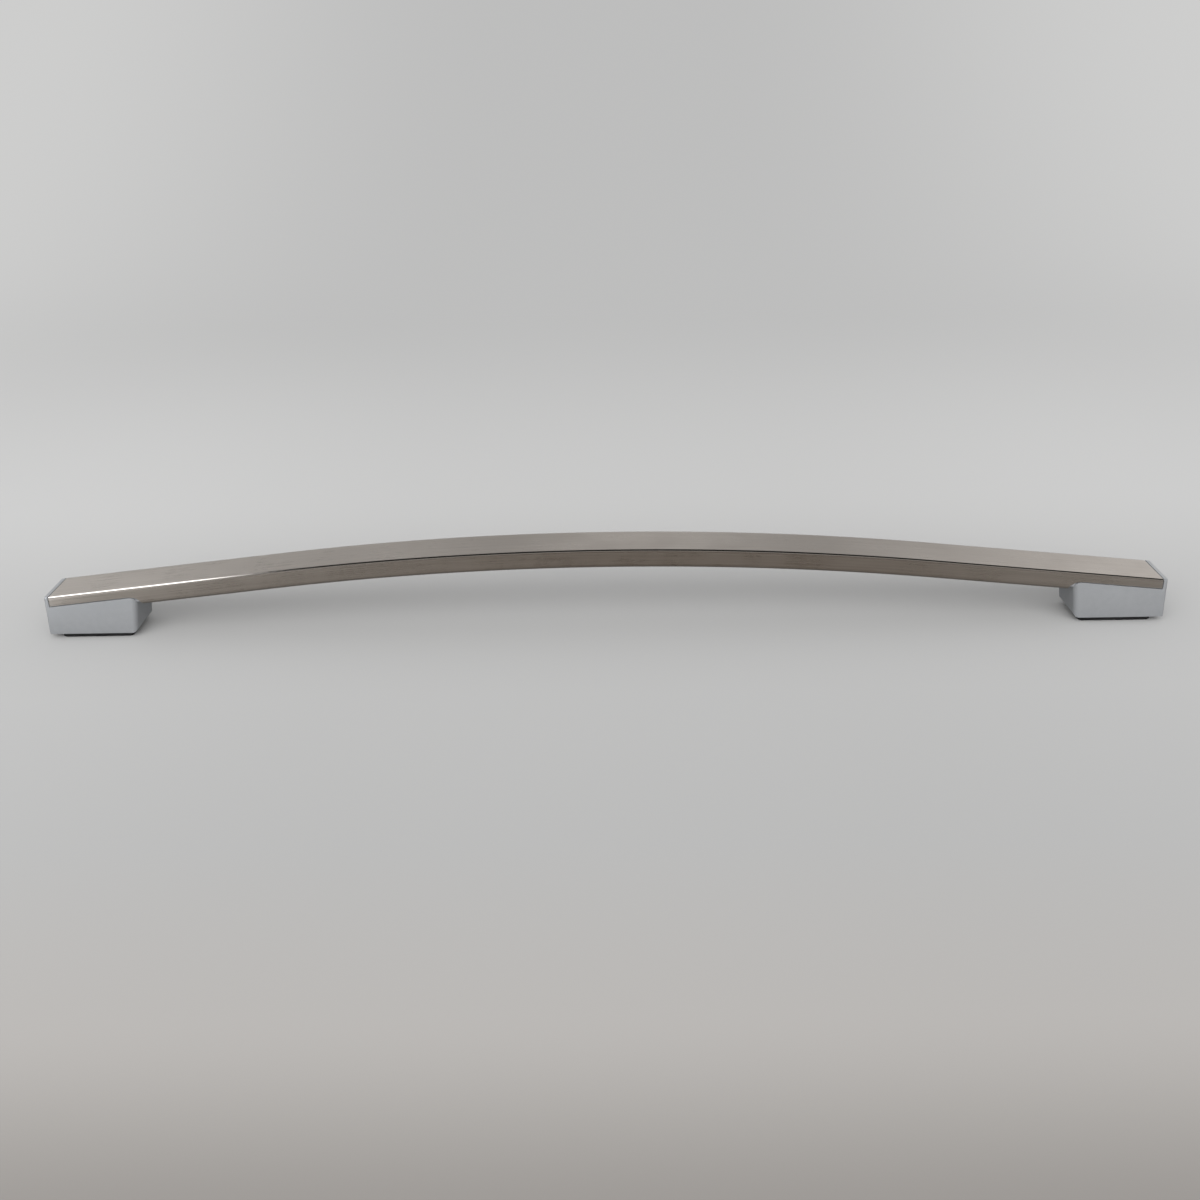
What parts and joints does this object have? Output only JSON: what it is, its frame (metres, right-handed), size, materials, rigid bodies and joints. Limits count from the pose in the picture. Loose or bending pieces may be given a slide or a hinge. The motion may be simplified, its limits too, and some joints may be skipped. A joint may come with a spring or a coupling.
{
  "type": "oven door handle",
  "caption": "Arched brushed stainless oven door handle with cast end supports and rubber door pads.",
  "frame": {"origin": "half way between the end supports, on the door plane, which is the plane of the pads' faces", "axes": "+X along the handle, +Z away from the oven door, -Y towards the long side that faces the viewer in the picture"},
  "size_m": [0.727, 0.0324, 0.0564],
  "materials": {
    "brushed_stainless": "brushed along the bar",
    "satin_silver": "satin silver",
    "plated_steel": "zinc plated",
    "insert_brass": "machined",
    "black_rubber": "matte"
  },
  "bodies": {
    "root": {"handle_bar": "brushed_stainless", "end_support_left": "satin_silver", "end_support_right": "satin_silver", "nut_plate_left": "plated_steel", "nut_plate_right": "plated_steel", "bar_screws_left": "plated_steel", "bar_screws_right": "plated_steel", "lock_washers_left": "plated_steel", "lock_washers_right": "plated_steel", "thread_inserts_left": "insert_brass", "thread_inserts_right": "insert_brass", "door_pad_left": "black_rubber", "door_pad_right": "black_rubber"}
  },
  "joints": []
}
